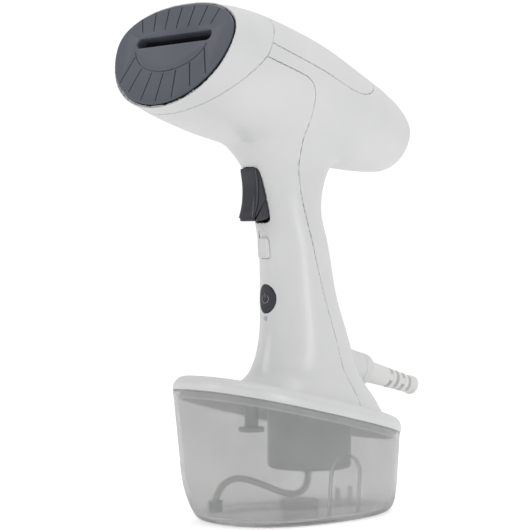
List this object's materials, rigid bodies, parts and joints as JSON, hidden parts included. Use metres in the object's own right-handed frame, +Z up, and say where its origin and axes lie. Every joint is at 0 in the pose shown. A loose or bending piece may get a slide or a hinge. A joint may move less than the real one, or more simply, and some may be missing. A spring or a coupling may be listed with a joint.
{
  "type": "handheld garment steamer",
  "caption": "Handheld garment steamer: oval steam plate on a tapered head, slim handle with trigger and button, clear water tank as its base, cord strain relief at the back.",
  "frame": {"origin": "on the flat underside of the water tank, below the handle, in the plane of symmetry", "axes": "+Z up from the surface it stands on, -Y towards the steam plate, +X across"},
  "size_m": [0.1014, 0.2179, 0.2982],
  "materials": {
    "white_gloss": "gloss",
    "white_satin": "satin",
    "smoky_clear": "gloss",
    "plate_coating": "satin",
    "dark_satin": "satin",
    "grey_plastic": "satin",
    "silicone": "satin",
    "black_rubber": "matte",
    "cast_aluminium": "as cast",
    "steel": "bright",
    "copper_winding": "varnished",
    "circuit_green": "gloss",
    "lamp_clear": "gloss"
  },
  "bodies": {
    "tank": {"tank": "smoky_clear"},
    "housing": {"base_cover": "white_gloss", "cover_gasket": "silicone", "vent_valve": "grey_plastic", "well_housing": "grey_plastic", "inlet_fitting": "grey_plastic", "suction_hose": "silicone", "hose_filter": "grey_plastic", "pump_body": "white_satin", "pump_coil": "copper_winding", "pump_yoke": "steel", "plunger_spring": "steel", "front_collar": "white_gloss", "front_shell": "white_gloss", "rear_shell": "white_gloss", "top_cover": "white_gloss", "shell_screw": "steel", "steam_plate": "plate_coating", "plate_seal": "black_rubber", "chamber_cover": "cast_aluminium", "steam_chamber": "cast_aluminium", "chamber_screws": "steel", "heating_element": "steel", "thermostat": "steel", "thermal_fuse": "steel", "heat_shield": "steel", "delivery_hose": "silicone", "trigger_pin": "steel", "trigger_bezel": "dark_satin", "trigger_spring": "steel", "steam_switch": "dark_satin", "power_switch": "dark_satin", "control_board": "circuit_green", "board_parts": "dark_satin", "indicator_light": "lamp_clear", "cord_gland": "white_gloss", "strain_relief": "white_satin", "terminal_block": "white_satin"},
    "trigger": {"trigger": "dark_satin"},
    "lock": {"lock_slider": "white_gloss"},
    "button": {"power_button": "dark_satin"},
    "plunger": {"pump_plunger": "steel"}
  },
  "joints": [
    {"name": "housing_lift", "type": "slide", "parent": "tank", "child": "housing", "axis": [0, 0, 1], "range_m": [0, 0.09]},
    {"name": "trigger_pull", "type": "hinge", "parent": "housing", "child": "trigger", "pos_m": [0, -0.025, 0.203], "axis": [1, 0, 0], "range_deg": [0, 8], "stiffness_Nm_per_rad": 0.4},
    {"name": "lock_slide", "type": "slide", "parent": "housing", "child": "lock", "axis": [0, 0, 1], "range_m": [0, 0.0034]},
    {"name": "power_press", "type": "slide", "parent": "housing", "child": "button", "axis": [0, 1, 0], "range_m": [0, 0.0011], "stiffness_N_per_m": 800},
    {"name": "plunger_stroke", "type": "slide", "parent": "housing", "child": "plunger", "axis": [0, 0, 1], "range_m": [0, 0.0018], "stiffness_N_per_m": 500, "deforming": ["plunger_spring"]}
  ]
}
